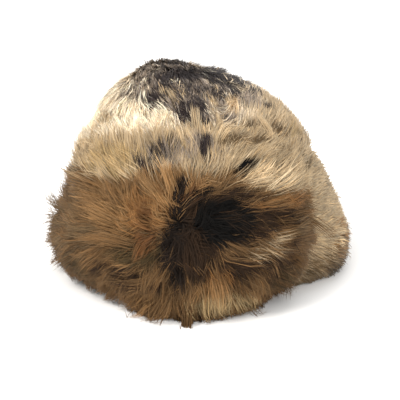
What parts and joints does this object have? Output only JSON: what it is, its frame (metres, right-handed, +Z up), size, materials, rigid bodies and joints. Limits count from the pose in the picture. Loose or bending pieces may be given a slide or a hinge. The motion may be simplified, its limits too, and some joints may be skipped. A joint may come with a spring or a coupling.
{
  "type": "fur cap",
  "caption": "Soft rounded fur cap with a tall fur flap turned up over the brow and a lower flap turned up round the sides and nape, open below for the head.",
  "frame": {"origin": "on the table under the middle of the cap as it lies, brow to -Y", "axes": "+Z up through the crown, -Y towards the brow, +X towards the right as the brow is faced"},
  "size_m": [0.2437, 0.2951, 0.1686],
  "materials": {
    "crown_fur": "long soft fur, cream with dark tips",
    "brow_fur": "long soft fur, brown to black, beige at the top",
    "nape_fur": "short smooth fur, beige, darker below"
  },
  "bodies": {
    "root": {"crown": "crown_fur", "front_flap": "brow_fur", "back_flap": "nape_fur"}
  },
  "joints": []
}
